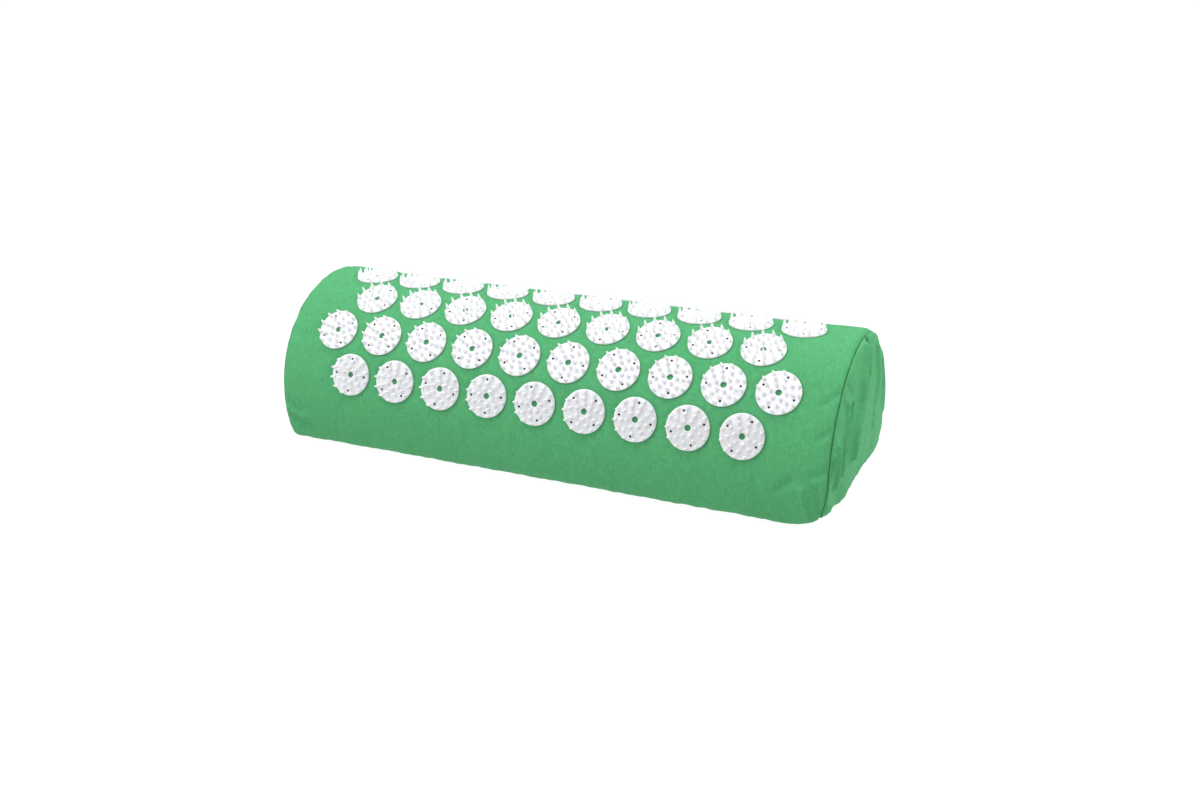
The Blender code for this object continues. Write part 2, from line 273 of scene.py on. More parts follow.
def set_inputs(tree, node, inputs):
    """Sets a node's inputs, by name or number, to values, or links them to other nodes' outputs."""
    for key, value in inputs.items():
        if isinstance(value, bpy.types.NodeSocket):
            tree.links.new(value, node.inputs[key])
        else:
            node.inputs[key].default_value = value


def add_node(tree, kind, **values):
    """A shader node with its properties and its inputs set."""
    made = tree.nodes.new(kind)
    inputs = values.pop("inputs", {})
    for key, value in values.items():
        setattr(made, key, value)
    set_inputs(tree, made, inputs)
    return made


def object_place(tree):
    return add_node(tree, "ShaderNodeTexCoord").outputs["Object"]


def bump(tree, height, strength, distance):
    inputs = {"Strength": strength, "Distance": distance, "Height": height}
    return add_node(tree, "ShaderNodeBump", inputs=inputs).outputs[0]


def calc(tree, operation, a, b=0.0, c=0.0):
    """One Math node's result."""
    made = add_node(tree, "ShaderNodeMath", operation=operation, inputs={0: a, 1: b, 2: c})
    return made.outputs[0]


def mix_color(tree, share, first, second):
    inputs = {0: share, 6: first, 7: second}
    made = add_node(tree, "ShaderNodeMix", data_type="RGBA", inputs=inputs)
    return made.outputs[2]


def weave_height(tree, along, across, pitch):
    """Height of a plain weave: threads along and across pass over each other in turn."""
    turn = math.pi / pitch
    first = calc(tree, "SINE", calc(tree, "MULTIPLY", along, turn))
    second = calc(tree, "SINE", calc(tree, "MULTIPLY", across, turn))
    over = calc(tree, "GREATER_THAN", calc(tree, "MULTIPLY", first, second), 0.0)
    under = calc(tree, "SUBTRACT", 1.0, over)
    warp = calc(tree, "MULTIPLY", calc(tree, "ABSOLUTE", first), over)
    weft = calc(tree, "MULTIPLY", calc(tree, "ABSOLUTE", second), under)
    return calc(tree, "ADD", warp, weft)


def cotton_material(name, color, pitch=0.55 * MM):
    """Woven cotton: a plain weave with thicker threads here and there, faint slubs, painted shade in the
    gaps between its threads and soft sheen.
    """
    material, tree, shader = new_material(name)
    cloth = add_node(tree, "ShaderNodeAttribute", attribute_name="cloth")
    split = add_node(tree, "ShaderNodeSeparateXYZ", inputs={0: cloth.outputs["Vector"]})
    along, across = split.outputs[0], split.outputs[1]
    weave = weave_height(tree, along, across, pitch)

    def streaks(scale_along, scale_across, detail, gain):
        scaled = {
            0: calc(tree, "MULTIPLY", along, scale_along),
            1: calc(tree, "MULTIPLY", across, scale_across),
        }
        stretch = add_node(tree, "ShaderNodeCombineXYZ", inputs=scaled)
        inputs = {"Vector": stretch.outputs[0], "Scale": 1.0, "Detail": detail}
        raw = add_node(tree, "ShaderNodeTexNoise", inputs=inputs).outputs["Fac"]
        return calc(tree, "MULTIPLY_ADD", raw, gain, 0.5 - 0.5 * gain)

    ribs = streaks(760, 150, 2.0, 3.2)
    slubs = streaks(240, 760, 2.0, 3.0)
    mottle = streaks(420, 420, 3.0, 3.4)
    patches = streaks(18, 18, 2.0, 2.0)
    tone = calc(tree, "MULTIPLY_ADD", ribs, 0.34, 0.0)
    tone = calc(tree, "MULTIPLY_ADD", slubs, 0.22, tone)
    tone = calc(tree, "MULTIPLY_ADD", mottle, 0.28, tone)
    tone = calc(tree, "MULTIPLY_ADD", patches, 0.16, tone)
    dark = tuple(c * 0.80 for c in color)
    light = tuple(min(1, c * 1.16) for c in color)
    shade = mix_color(tree, tone, (*dark, 1), (*light, 1))
    # Painted shade: where the weave is low, between the threads, the colour is drawn towards a darker green
    # for the shade there.
    weave_gap_shade_color = tuple(c * 0.62 for c in color)
    painted_gap_shade = calc(tree, "MULTIPLY", calc(tree, "SUBTRACT", 1.0, weave), 0.35)
    inputs = {
        "Base Color": mix_color(tree, painted_gap_shade, shade, (*weave_gap_shade_color, 1)),
        "Roughness": calc(tree, "MULTIPLY_ADD", mottle, 0.16, 0.78),
        "Normal": bump(tree, calc(tree, "MULTIPLY_ADD", ribs, 0.7, weave), 0.55, 0.12 * MM),
        "Specular IOR Level": 0.12,
        "Sheen Weight": 0.06,
        "Sheen Tint": (0.6, 1.0, 0.72, 1),
        "Sheen Roughness": 0.45,
    }
    set_inputs(tree, shader, inputs)
    return material


def plastic_material(name, color, roughness, inside=0.0):
    """Moulded plastic with a faint orange-peel surface; inside is how much light wanders within it."""
    material, tree, shader = new_material(name)
    place = object_place(tree)
    peel_inputs = {"Vector": place, "Scale": 900.0, "Detail": 2.0}
    peel = add_node(tree, "ShaderNodeTexNoise", inputs=peel_inputs).outputs["Fac"]
    inputs = {
        "Roughness": calc(tree, "MULTIPLY_ADD", peel, 0.14, roughness - 0.07),
        "Normal": bump(tree, peel, 0.2, 0.05 * MM),
        "Base Color": (*color, 1),
        "Subsurface Weight": inside,
        "Subsurface Radius": (1.0, 0.98, 0.95),
        "Subsurface Scale": 3 * MM,
    }
    set_inputs(tree, shader, inputs)
    return material


def foam_material():
    """Cut open-cell foam, pale yellow with fine pores."""
    material, tree, shader = new_material("foam")
    place = object_place(tree)
    pore_inputs = {"Vector": place, "Scale": 700.0}
    pores = add_node(tree, "ShaderNodeTexVoronoi", inputs=pore_inputs).outputs["Distance"]
    shade = mix_color(tree, pores, (0.80, 0.72, 0.50, 1), (0.92, 0.86, 0.66, 1))
    normal = bump(tree, pores, 0.7, 0.4 * MM)
    set_inputs(tree, shader, {"Base Color": shade, "Normal": normal, "Roughness": 0.95})
    return material


def seam_shade_thread_material():
    """Sewing thread, coloured far darker than the cloth as painted shade of the seams, with slanting bands
    of painted light and shade for its twist.
    """
    material, tree, shader = new_material("sewing_thread")
    place = object_place(tree)
    twist_inputs = {"Vector": place, "Scale": 520.0, "Distortion": 1.5, "Detail": 1.0}
    wave = add_node(tree, "ShaderNodeTexWave", bands_direction="DIAGONAL", inputs=twist_inputs)
    twist = wave.outputs["Fac"]
    # Painted shade: the thread's near-black greens make the seams show as dark dashed lines, standing in for
    # the shade in their grooves; the twist bands paint light and shade along the thread.
    shade = mix_color(tree, twist, (0.005, 0.040, 0.014, 1), (0.014, 0.090, 0.034, 1))
    normal = bump(tree, twist, 0.5, 0.08 * MM)
    set_inputs(tree, shader, {"Base Color": shade, "Normal": normal, "Roughness": 0.7})
    return material


def metal_material():
    """Nickel-plated die casting, unevenly bright and rough."""
    material, tree, shader = new_material("zip_metal")
    place = object_place(tree)
    wear_inputs = {"Vector": place, "Scale": 350.0, "Detail": 4.0}
    wear = add_node(tree, "ShaderNodeTexNoise", inputs=wear_inputs).outputs["Fac"]
    shade = mix_color(tree, wear, (0.50, 0.49, 0.46, 1), (0.74, 0.73, 0.70, 1))
    rough = calc(tree, "MULTIPLY_ADD", wear, 0.30, 0.16)
    set_inputs(tree, shader, {"Base Color": shade, "Roughness": rough, "Metallic": 1.0})
    return material


# ---- pieces ----


def finish_piece(name, mesh, material, body, smooth_angle=None):
    """A mesh as a piece, shaded smooth but for edges sharper than an angle and body."""
    mesh.materials.append(material)
    mesh.shade_smooth()
    if smooth_angle:
        mesh.set_sharp_from_angle(angle=math.radians(smooth_angle))
    obj = add_object(name, mesh)
    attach(obj, body)
    return obj


def arc_frame(x, angle, radius):
    """A place on the curved face whose z points out of it and whose y points up and over the crest."""
    out = Vector((0, math.sin(angle), math.cos(angle)))
    centre = Vector((x, 0, AXIS_HEIGHT))
    return Matrix.Translation(centre + radius * out) @ Matrix.Rotation(-angle, 4, "X")


def disc_places():
    """Every disc's node name, number and place, in the CAD's order of random turns."""
    turns = random.Random(TURN_SEED)
    for name, row, count in DISC_ROWS:
        for i in range(count):
            x = (i - (count - 1) / 2) * DISC_PITCH
            turn = Matrix.Rotation(turns.uniform(0, math.tau), 4, "Z")
            yield name, i + 1, arc_frame(x, row * ROW_STEP, DISC_SEAT_RADIUS) @ turn


# ---- cover ----


def end_distance(x):
    """How far x is from the nearer end seam, and which end that is."""
    return (SEAM_RIGHT - x, 1) if x > 0 else (x - SEAM_LEFT, -1)


def rounding_centre():
    reach = COVER_RADIUS - EDGE_ROUNDING
    across = math.sqrt(reach**2 - (AXIS_HEIGHT - EDGE_ROUNDING) ** 2)
    return across, EDGE_ROUNDING


def rounding_start():
    """Angle from the crest at which the arc runs into the lower rounding."""
    across, height = rounding_centre()
    return math.pi / 2 + math.atan2(AXIS_HEIGHT - height, across)


def base_seam_angle(x):
    """The base seam lies underneath, and climbs the rounded edge towards the corners."""
    distance, side = end_distance(x)
    climb = BASE_SEAM_CLIMB[side] * math.exp(-max(0, distance) / (16 * MM))
    return BASE_SEAM_ANGLE - climb


def half_ring():
    """Rear half of the cover's section, from crest to base seam.

    Each point is an angle on the arc, or a share of the rounding down to the base seam.
    The patch corner and the zip's two edges are points of it, so that panels can end there.
    """
    half_gap = math.asin(ZIP_HALF_OPENING / ZIP_VALLEY_RADIUS)
    stops = (
        (0, PATCH_CORNER, TOP_STEPS // 2),
        (PATCH_CORNER, ZIP_ANGLE - half_gap, REAR_STEPS),
        (ZIP_ANGLE - half_gap, ZIP_ANGLE + half_gap, ZIP_STEPS),
        (ZIP_ANGLE + half_gap, rounding_start(), 3),
    )
    points = [("arc", 0.0)]
    for start, end, count in stops:
        points += [("arc", start + (end - start) * i / count) for i in range(1, count + 1)]
    return points + [("round", i / ROUND_STEPS) for i in range(1, ROUND_STEPS + 1)]


RING_HALF = half_ring()
SIDE_STEPS = len(RING_HALF) - 1 - TOP_STEPS // 2
ZIP_UPPER = len(RING_HALF) - 1 + TOP_STEPS // 2 + REAR_STEPS
ZIP_LOWER = ZIP_UPPER + ZIP_STEPS


def rounding_point(angle):
    across, height = rounding_centre()
    return across + EDGE_ROUNDING * math.sin(angle), height + EDGE_ROUNDING * math.cos(angle)


def section_point(kind, value, x, side):
    """A point of the plain section at x: side 1 is the rear half and -1 the front half."""
    if kind == "round":
        start = rounding_start()
        y, z = rounding_point(start + (base_seam_angle(x) - start) * value)
        return side * y, z
    inside = float(smooth(*FIELD_INSET, end_distance(x)[0]))
    covered = float(1 - smooth(*FIELD_EDGE, value))
    radius = COVER_RADIUS + (FIELD_RADIUS - COVER_RADIUS) * inside * covered
    if side > 0:
        away = abs(value - ZIP_ANGLE)
        valley = float(1 - smooth(*VALLEY_EDGE, away))
        radius += (ZIP_VALLEY_RADIUS - radius) * valley
    return side * radius * math.sin(value), AXIS_HEIGHT + radius * math.cos(value)


def settle(x, y, z):
    """Where a point of the plain section comes to lie: the ends' feet curl up, most at the front corners."""
    distance, side = end_distance(x)
    distance = max(0, distance)
    end_lift, corner_lift, reach = LIFTS[side]
    low = max(0.0, 1 - z / (42 * MM)) ** 2
    corner = float(smooth(25 * MM, 62 * MM, -y))
    rear = float(smooth(20 * MM, 65 * MM, y))
    lift = end_lift * (1 - REAR_LIFT_LOSS * rear) + corner_lift * corner
    rise = lift * low * math.exp(-distance / reach)
    draw = (SHOULDER + CORNER_DRAW[side] * low * corner) * math.exp(-distance / (5 * MM))
    slide = CORNER_SLIDE[side] * low * corner * math.exp(-distance / (20 * MM))
    towards = Vector((0, -y, AXIS_HEIGHT - z)).normalized() * draw
    return Vector((x - side * slide, y + towards.y, z + towards.z + rise))


def ring_at(x):
    """The cover's section at x from the front base seam over the crest to the rear base seam."""
    front = [(kind, value, -1) for kind, value in reversed(RING_HALF[1:])]
    rear = [(kind, value, 1) for kind, value in RING_HALF]
    return [settle(x, *section_point(kind, value, x, side)) for kind, value, side in front + rear]


def stations():
    """Places along the bolster, closer together where the fabric turns into the end seams."""
    near = (0, 0.7 * MM, 1.5 * MM, 2.6 * MM, 4 * MM)
    start, end = SEAM_LEFT + near[-1], SEAM_RIGHT - near[-1]
    count = round((end - start) / GRID)
    middle = [start + (end - start) * i / count for i in range(1, count)]
    return [SEAM_LEFT + d for d in near] + middle + [SEAM_RIGHT - d for d in reversed(near)]


def grid_faces(rows, columns):
    faces = []
    for i in range(rows - 1):
        for j in range(columns - 1):
            a = i * columns + j
            faces.append((a, a + columns, a + columns + 1, a + 1))
    return faces


def side_grids():
    """The wrapped part of the cover as point grids: curved panel, zip bed and rear strip."""
    rings = np.array([[tuple(p) for p in ring_at(x)] for x in stations()])
    return {
        "cover_curved_panel": rings[:, : ZIP_UPPER + 1],
        "zip_bed": rings[:, ZIP_UPPER : ZIP_LOWER + 1],
        "cover_rear_strip": rings[:, ZIP_LOWER:],
    }


def base_row(x):
    """The base panel's line at x: round the rear edge, flat across and round the front edge."""
    seam = base_seam_angle(x)
    bend = EDGE_ROUNDING * (math.pi - seam)
    flat = 2 * rounding_centre()[0]
    length = 2 * bend + flat
    row = []
    for j in range(TOP_STEPS + 1):
        share = j / TOP_STEPS
        share = 0.6 * share + 0.2 * (1 - math.cos(math.pi * share))
        along = length * share
        if along <= bend:
            y, z = rounding_point(seam + along / EDGE_ROUNDING)
        elif along < bend + flat:
            y, z = flat / 2 - (along - bend), 0.0
        else:
            y, z = rounding_point(seam + (length - along) / EDGE_ROUNDING)
            y = -y
        row.append(settle(x, y, z))
    return row


def base_grid():
    return np.array([[tuple(p) for p in base_row(x)] for x in stations()])


def crowded(share):
    """Moves even shares of a span towards its two ends."""
    return 0.5 * share + 0.25 * (1 - math.cos(math.pi * share))


def end_bulge(z, edge_distance, side):
    """How far an end panel swells past its seam, less so low down."""
    height, turn = END_SWELL[side]
    low = 1 - float(smooth(0, 30 * MM, z))
    return height * (1 + 0.3 * low) * (1 - math.exp(-edge_distance / turn))


def end_grid(side):
    """A Coons patch over an end's D outline, pushed out to a stuffed panel."""
    seam_x = SEAM_RIGHT if side > 0 else SEAM_LEFT
    ring = ring_at(seam_x)
    n, m = SIDE_STEPS, TOP_STEPS
    left = ring[: n + 1]
    top = ring[n : n + m + 1]
    right = list(reversed(ring[n + m :]))
    bottom = list(reversed(base_row(seam_x)))
    corners = (left[0], left[-1], right[0], right[-1])
    outline = np.array([(p.y, p.z) for p in ring + bottom[::-1][1:-1]])
    rows = []
    for i in range(n + 1):
        v = crowded(i / n)
        row = []
        for j in range(m + 1):
            u = crowded(j / m)
            p = (1 - v) * bottom[j] + v * top[j] + (1 - u) * left[i] + u * right[i]
            p = p - (1 - u) * (1 - v) * corners[0] - (1 - u) * v * corners[1]
            p = p - u * (1 - v) * corners[2] - u * v * corners[3]
            if 0 < i < n and 0 < j < m:
                reach = float(np.min(np.hypot(outline[:, 0] - p.y, outline[:, 1] - p.z)))
                p.x += side * end_bulge(p.z, reach, side)
            row.append(tuple(p))
        rows.append(row)
    grid = np.array(rows)
    return grid if side < 0 else grid[:, ::-1]


def line_distance(points, line):
    """Distance of 2D points from a line of 2D points, all in metres."""
    nearest = np.full(len(points), np.inf)
    for start, end in zip(line, line[1:]):
        run = np.subtract(end, start)
        share = np.clip((points - start) @ run / (run @ run), 0, 1)
        gap = points - start - share[:, None] * run
        nearest = np.minimum(nearest, np.hypot(gap[:, 0], gap[:, 1]))
    return nearest


def fold_height(points, line, half_width, rise):
    """A soft fold along a line, with its rise in mm and half width in mm."""
    distance = line_distance(points, np.array(line))
    return rise * MM * np.exp(-((distance / (half_width * MM)) ** 1.6))


def crease_height(points):
    """Height of the creases of the wrapped fabric at each point."""
    angle = np.arctan2(points[:, 1], points[:, 2] - AXIS_HEIGHT)
    unrolled = np.stack((points[:, 0], angle * COVER_RADIUS), axis=1)
    height = np.zeros(len(points))
    for x0, deg0, x1, deg1, half_width, rise in CREASES:
        arcs = [math.radians(deg) * COVER_RADIUS for deg in (deg0, deg1)]
        line = ((x0 * MM, arcs[0]), (x1 * MM, arcs[1]))
        height += fold_height(unrolled, line, half_width, rise)
    return height


def seam_puckers(points):
    """Short gathers that run in from the end seams, and slack ripples of the open fabric."""
    height = np.zeros(len(points))
    for k, (x, y, z) in enumerate(points):
        distance, side = end_distance(x)
        distance = max(0.0, distance)
        angle = math.atan2(y, z - AXIS_HEIGHT)
        arc = angle * COVER_RADIUS
        gather = noise(Vector((distance * 25, arc * 120, side * 3.0)))
        height[k] = 0.9 * MM * gather * math.exp(-distance / (9 * MM))
        height[k] += 0.35 * MM * noise(Vector((x * 28, arc * 34, 2.0)))
    return height


def outward(points):
    """Unit vectors out of the curved face at each point."""
    radial = points - np.array((0, 0, AXIS_HEIGHT))
    radial[:, 0] = 0
    return radial / np.linalg.norm(radial, axis=1)[:, None]


def build_grids():
    grids = side_grids()
    grids["cover_base_panel"] = base_grid()
    grids["cover_end_left"] = end_grid(-1)
    grids["cover_end_right"] = end_grid(1)
    return grids


def closed_cover(grids):
    """The cover's grids welded into one closed mesh, and where each grid point is in it."""
    bm = bmesh.new()
    verts = []
    for grid in grids.values():
        start = len(verts)
        verts += [bm.verts.new(p) for p in grid.reshape(-1, 3)]
        for face in grid_faces(*grid.shape[:2]):
            bm.faces.new([verts[start + k] for k in face])
    doubles = bmesh.ops.find_doubles(bm, verts=bm.verts, dist=0.01 * MM)["targetmap"]
    kept = [doubles.get(v, v) for v in verts]
    bmesh.ops.weld_verts(bm, targetmap=doubles)
    bmesh.ops.recalc_face_normals(bm, faces=bm.faces)
    bm.verts.index_update()
    places = np.array([v.index for v in kept])
    return take_mesh("closed_cover", bm), places


def held_points(grids, places, points):
    """Points that sewing, the zip, the discs or the floor hold; sewing holds those that panels share."""
    owners = np.concatenate([np.full(grid[..., 0].size, k) for k, grid in enumerate(grids.values())])
    least = np.full(len(points), len(grids))
    most = np.full(len(points), -1)
    np.minimum.at(least, places, owners)
    np.maximum.at(most, places, owners)
    held = least != most
    held |= points[:, 2] < 0.5 * MM
    held |= most == list(grids).index("zip_bed")
    for _name, _i, place in disc_places():
        held |= np.linalg.norm(points - np.array(place.translation), axis=1) < DISC_RADIUS + 0.5 * MM
    return held


def simulate_fabric(grids):
    """The grids after a short cloth simulation: the stuffing presses out the cloth between its seams."""
    mesh, places = closed_cover(grids)
    obj = add_object("closed_cover", mesh)
    rest = mesh_points(obj)
    group = obj.vertex_groups.new(name="held")
    group.add(np.flatnonzero(held_points(grids, places, rest)).tolist(), 1.0, "REPLACE")
    cloth = obj.modifiers.new("Cloth", "CLOTH")
    cloth.settings.vertex_group_mass = "held"
    cloth.settings.use_pressure = True
    cloth.settings.uniform_pressure_force = CLOTH_PRESSURE
    cloth.settings.shrink_min = -CLOTH_SLACK
    cloth.settings.effector_weights.gravity = 0
    cloth.point_cache.frame_start = 1
    cloth.point_cache.frame_end = CLOTH_FRAMES
    for frame_number in range(1, CLOTH_FRAMES + 1):
        bpy.context.scene.frame_set(frame_number)
    apply_modifiers(obj)
    moved = mesh_points(obj) - rest
    bpy.data.objects.remove(obj)
    bpy.context.scene.frame_set(1)
    length = np.linalg.norm(moved, axis=1)
    cap = np.full(len(rest), WRAP_SWELL)
    cap[rest[:, 0] < SEAM_LEFT - 0.1 * MM] = END_PANEL_SWELL[-1]
    cap[rest[:, 0] > SEAM_RIGHT - 5 * MM] = END_PANEL_SWELL[1]
    share = cap * np.tanh(length / cap) / np.maximum(length, 1e-9)
    moved = (moved * share[:, None])[places]
    swollen = {}
    start = 0
    for name, grid in grids.items():
        count = grid[..., 0].size
        swollen[name] = grid + moved[start : start + count].reshape(grid.shape)
        start += count
    return swollen


def zip_frame(x=0.0):
    """Zip coordinates at x: x along the bolster, y across the opening and z out of the cover."""
    return arc_frame(x, ZIP_ANGLE, CAD_COVER_RADIUS)


def hemmed(grid, last):
    """A panel with its zip edge, its last column or else its first, turned under."""
    frame_axes = np.array(zip_frame())[:3, :3]
    across, out = frame_axes[:, 1], frame_axes[:, 2]
    towards = 1 if last else -1
    edge = grid[:, -1] if last else grid[:, 0]
    hem = [edge + (towards * v * across + w * out) * MM for v, w in HEM]
    hem = hem if last else hem[::-1]
    hem = np.stack(hem, axis=1)
    return np.concatenate([grid, hem] if last else [hem, grid], axis=1)


def press_discs(points):
    """Points of the curved panel laid flat under each disc, fading out past its rim."""
    for _name, _i, place in disc_places():
        inverse = np.array(place.inverted())
        local = points @ inverse[:3, :3].T + inverse[:3, 3]
        distance = np.hypot(local[:, 0], local[:, 1])
        near = (distance < PRESS_REACH) & (np.abs(local[:, 2]) < 15 * MM)
        held = 1 - smooth(*PRESS_FADE, distance[near] - DISC_RADIUS)
        lower = -SEAT_DEPTH - local[near, 2]
        normal = np.array(place)[:3, 2]
        points[near] += (held * lower)[:, None] * normal
    return points


def cloth_coordinates(grid):
    """Distances along and across a grid of fabric, for its weave."""
    along = np.linalg.norm(np.diff(grid, axis=0), axis=2).mean(axis=1)
    across = np.linalg.norm(np.diff(grid, axis=1), axis=2).mean(axis=0)
    flat = np.zeros(grid.shape)
    flat[..., 0] = running_length(along)[:, None]
    flat[..., 1] = running_length(across)[None, :]
    return flat.reshape(-1, 3)


def fabric_piece(name, grid, material, levels):
    """A panel as one piece: its grid, made finer, with the weave's coordinates on it."""
    rows, columns = grid.shape[:2]
    mesh = bpy.data.meshes.new(name)
    faces = grid_faces(rows, columns)
    mesh.from_pydata([tuple(p) for p in grid.reshape(-1, 3)], [], faces)
    layer = mesh.attributes.new("cloth", "FLOAT_VECTOR", "POINT")
    layer.data.foreach_set("vector", cloth_coordinates(grid).ravel())
    obj = finish_piece(name, mesh, material, "bolster")
    finer = obj.modifiers.new("Finer", "SUBSURF")
    finer.levels = levels
    finer.render_levels = levels
    finer.boundary_smooth = "PRESERVE_CORNERS"
    apply_modifiers(obj)
    return obj


def evaluated_mesh(obj):
    depsgraph = bpy.context.evaluated_depsgraph_get()
    return bpy.data.meshes.new_from_object(obj.evaluated_get(depsgraph))


def apply_modifiers(obj):
    mesh = evaluated_mesh(obj)
    old = obj.data
    obj.modifiers.clear()
    obj.data = mesh
    bpy.data.meshes.remove(old)


def mesh_points(obj):
    flat = np.empty(len(obj.data.vertices) * 3)
    obj.data.vertices.foreach_get("co", flat)
    return flat.reshape(-1, 3)


def set_points(obj, points):
    obj.data.vertices.foreach_set("co", points.ravel())
    obj.data.update()


def border_points(obj):
    """The points of an open piece's border."""
    bm = bmesh.new()
    bm.from_mesh(obj.data)
    points = [v.co.copy() for v in bm.verts if v.is_boundary]
    bm.free()
    return points


def border_tree(pieces):
    """A search tree of the border points of some pieces."""
    points = [point for piece in pieces for point in border_points(piece)]
    tree = KDTree(len(points))
    for i, point in enumerate(points):
        tree.insert(point, i)
    tree.balance()
    return tree


def sink_seams(obj, tree):
    """Draws the fabric in towards its axis along the seams."""
    points = mesh_points(obj)
    distance = np.array([tree.find(p)[2] for p in points])
    depth = GROOVE_DEPTH * np.exp(-distance / GROOVE_WIDTH)
    set_points(obj, points - outward(points) * depth[:, None])


def work_curved_panel(obj):
    """Gathers, creases and ripples of the curved panel, with the fabric pressed flat under its discs."""
    points = mesh_points(obj)
    angle = np.arctan2(points[:, 1], points[:, 2] - AXIS_HEIGHT)
    above_zip = 1 - smooth(*CREASE_EDGE, angle)
    edge = np.minimum(points[:, 0] - SEAM_LEFT, SEAM_RIGHT - points[:, 0])
    loose = smooth(0, 3 * MM, edge) * above_zip
    height = (seam_puckers(points) + crease_height(points)) * loose
    points += outward(points) * height[:, None]
    set_points(obj, press_discs(points))


def work_end_panel(obj, side):
    """Folds, gathers and ripples of an end panel, fading out at its seam."""
    points = mesh_points(obj)
    tree = border_tree([obj])
    edge = np.array([tree.find(p)[2] for p in points])
    height = np.zeros(len(points))
    for line, half_width, rise in END_FOLDS[side]:
        scaled = [(y * MM, z * MM) for y, z in line]
        height += fold_height(points[:, 1:], scaled, half_width, rise)
    for k, (_x, y, z) in enumerate(points):
        turn = math.atan2(y, z - AXIS_HEIGHT)
        gather = noise(Vector((edge[k] * 40, turn * 9, side * 7.0)))
        height[k] += 1.3 * MM * gather * math.exp(-edge[k] / (7 * MM))
        height[k] += 0.6 * MM * noise(Vector((y * 55, z * 26, side * 4.0)))
    points[:, 0] += side * height * smooth(0, 4 * MM, edge)
    set_points(obj, points)


def make_cover(material):
    pieces = {}
    grids = build_grids()
    grids = simulate_fabric(grids)
    del grids["zip_bed"]
    grids["cover_curved_panel"] = hemmed(grids["cover_curved_panel"], True)
    grids["cover_rear_strip"] = hemmed(grids["cover_rear_strip"], False)
    for name, grid in grids.items():
        levels = 2 if name.startswith("cover_end") else 1
        piece = fabric_piece(name.replace("cover_", "cloth_"), grid, material, levels)
        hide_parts(name)
        pieces[name] = piece
    tree = border_tree(pieces[name] for name in ("cover_base_panel", "cover_end_left", "cover_end_right"))
    work_curved_panel(pieces["cover_curved_panel"])
    work_end_panel(pieces["cover_end_left"], -1)
    work_end_panel(pieces["cover_end_right"], 1)
    for piece in pieces.values():
        sink_seams(piece, tree)
    return pieces


# ---- discs ----


def add_spike(bm, centre):
    """A closed spike that stands on the disc's plate."""
    rings = []
    for radius, height in SPIKE_PROFILE[:-1]:
        rings.append(level_ring(bm, centre, radius * MM, DISC_PLATE + height * MM, SPIKE_STEPS))
    tip = bm.verts.new((*centre, DISC_PLATE + SPIKE_PROFILE[-1][1] * MM))
    bm.faces.new(list(reversed(rings[0])))
    skin_rings(bm, rings)
    for k in range(SPIKE_STEPS):
        bm.faces.new((rings[-1][k], rings[-1][(k + 1) % SPIKE_STEPS], tip))


def add_plate_ring(bm):
    """The disc's plate: a flat ring with rounded rims, round its hole too."""
    profile = (
        (HOLE_RADIUS, 0.0),
        (DISC_RADIUS - PLATE_BEVEL / 2, 0.0),
        (DISC_RADIUS, PLATE_BEVEL / 2),
        (DISC_RADIUS, DISC_PLATE - PLATE_BEVEL),
        (DISC_RADIUS - PLATE_BEVEL * 0.3, DISC_PLATE - PLATE_BEVEL * 0.3),
        (DISC_RADIUS - PLATE_BEVEL, DISC_PLATE),
        (HOLE_RADIUS + PLATE_BEVEL / 2, DISC_PLATE),
        (HOLE_RADIUS, DISC_PLATE - PLATE_BEVEL / 2),
    )
    rings = [level_ring(bm, (0, 0), radius, height, PLATE_STEPS) for radius, height in profile]
    skin_rings(bm, rings + rings[:1])


def pin_drill(places):
    """A cylinder at each pin hole, to be cut out of the plate."""
    drill = bmesh.new()
    for place in places:
        bmesh.ops.create_cone(
            drill,
            cap_ends=True,
            segments=16,
            radius1=PIN_RADIUS,
            radius2=PIN_RADIUS,
            depth=2 * PIN_DEPTH,
            matrix=Matrix.Translation((*place, DISC_PLATE)),
        )
    return add_object("pin_drill", take_mesh("pin_drill", drill))


def paint_pin_hole_shade(mesh, pins):
    """Gives the faces inside the pin holes the mesh's second material, a near-black painted shade for the
    shade inside them.
    """
    for face in mesh.polygons:
        x, y, z = face.center
        in_hole = any(math.hypot(x - a, y - b) < PIN_RADIUS * 1.01 for a, b in pins)
        if in_hole and z < DISC_PLATE - 0.05 * MM:
            face.material_index = 1


def disc_mesh(material, pin_shade_material):
    """The detailed disc: plate with hole, four blind pin holes lined with painted shade and 27 slender
    points.
    """
    bm = bmesh.new()
    add_plate_ring(bm)
    for radius, count in SPIKE_RINGS:
        for centre in circle(0, 0, radius * MM, count):
            add_spike(bm, centre)
    bmesh.ops.recalc_face_normals(bm, faces=bm.faces)
    obj = add_object("disc_plate", take_mesh("disc_plate", bm))
    angles = [math.radians(PIN_START_DEGREES + 90 * k) for k in range(4)]
    pins = [(PIN_CIRCLE * math.cos(a), PIN_CIRCLE * math.sin(a)) for a in angles]
    cutter = pin_drill(pins)
    cut = obj.modifiers.new("Pins", "BOOLEAN")
    cut.operation = "DIFFERENCE"
    cut.object = cutter
    cut.use_self = True
    apply_modifiers(obj)
    mesh = obj.data
    bpy.data.objects.remove(obj)
    bpy.data.objects.remove(cutter)
    mesh.materials.clear()
    mesh.materials.append(material)
    mesh.materials.append(pin_shade_material)
    paint_pin_hole_shade(mesh, pins)
    mesh.shade_smooth()
    mesh.set_sharp_from_angle(angle=math.radians(40))
    return mesh


def make_discs(material, pin_shade_material):
    shared = disc_mesh(material, pin_shade_material)
    for name, i, place in disc_places():
        disc = add_object(f"{name}_{i:02d}_moulded", shared)
        disc.matrix_world = place
        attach(disc, "bolster")
        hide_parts(name if name.startswith("discs_") else f"{name}_{i:02d}")


# ---- stitches ----


